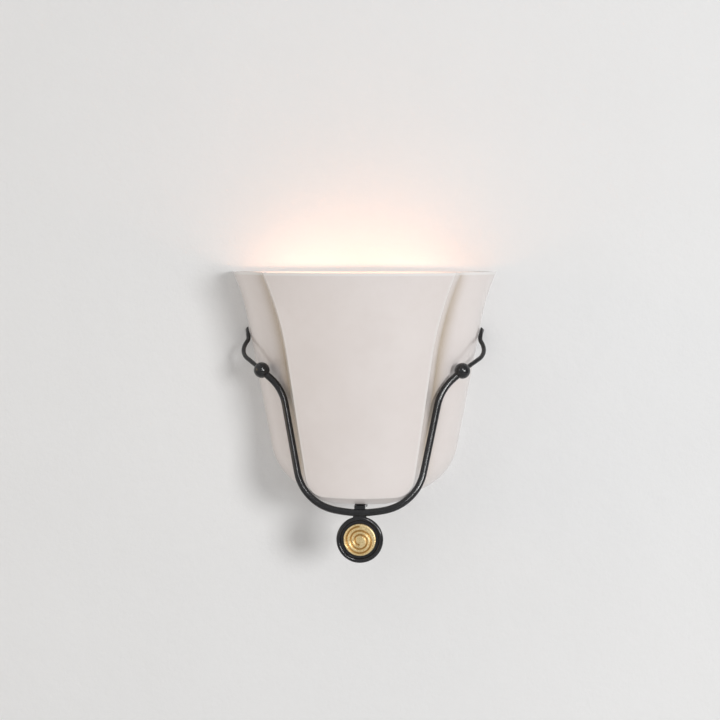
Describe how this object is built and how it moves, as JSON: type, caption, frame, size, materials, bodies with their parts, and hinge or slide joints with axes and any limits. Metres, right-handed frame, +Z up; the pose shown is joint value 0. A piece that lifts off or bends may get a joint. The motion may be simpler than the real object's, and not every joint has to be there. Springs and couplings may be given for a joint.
{
  "type": "wall sconce",
  "caption": "Wall uplighter: a lobed half-tulip ceramic shade standing in a forged iron cradle with a spiral medallion, with lampholder, bulb and wall bracket.",
  "frame": {"origin": "middle of the two wall box screw slots, on the wall", "axes": "+X to the right as seen from the room, +Y into the wall, +Z up"},
  "size_m": [0.305, 0.15, 0.3213],
  "materials": {
    "glaze": "gloss off-white glaze with a faint pink cast",
    "black_iron": "satin black over forged iron",
    "gilt": "gilded, brushed and hammered",
    "steel": "zinc-plated steel",
    "felt": "grey felt",
    "rubber": "black rubber",
    "brass": "plain brass",
    "porcelain": "unglazed white porcelain",
    "holder_plastic": "black moulded phenolic",
    "bushing_plastic": "black nylon",
    "green_screw": "green ground screw",
    "aluminium": "rolled aluminium",
    "bulb_glass": "clear glass",
    "black_glass": "black insulating glass",
    "stem_glass": "clear glass",
    "light": "glowing rods"
  },
  "bodies": {
    "sconce": {"shade": "glaze", "felt_pads": "felt", "bow": "black_iron", "ball_right": "black_iron", "ball_left": "black_iron", "hook_right": "black_iron", "hook_left": "black_iron", "foot_bar": "black_iron", "ring": "black_iron", "medallion_plate": "black_iron", "medallion": "gilt", "medallion_nut": "brass", "wall_bracket": "steel", "wire_bushing": "bushing_plastic", "ground_screw": "green_screw", "bar_screws": "steel", "foot_nut": "black_iron", "foot_pad": "rubber", "floor_gasket": "rubber", "floor_washer": "steel", "lock_nut": "steel", "threaded_tube": "steel", "riser_tube": "brass", "lampholder_cap": "brass", "lampholder_shell": "holder_plastic", "lampholder_insulator": "porcelain", "terminal_screws": "brass", "screw_shell": "brass", "middle_contact": "brass"},
    "bulb": {"bulb_contact": "aluminium", "bulb_seal": "black_glass", "bulb_base": "aluminium", "bulb_glass": "bulb_glass", "bulb_stem": "stem_glass", "bulb_filaments": "light"}
  },
  "joints": [
    {"name": "bulb_lift", "type": "slide", "parent": "sconce", "child": "bulb", "axis": [0, 0, 1], "range_m": [0, 0.14]}
  ]
}
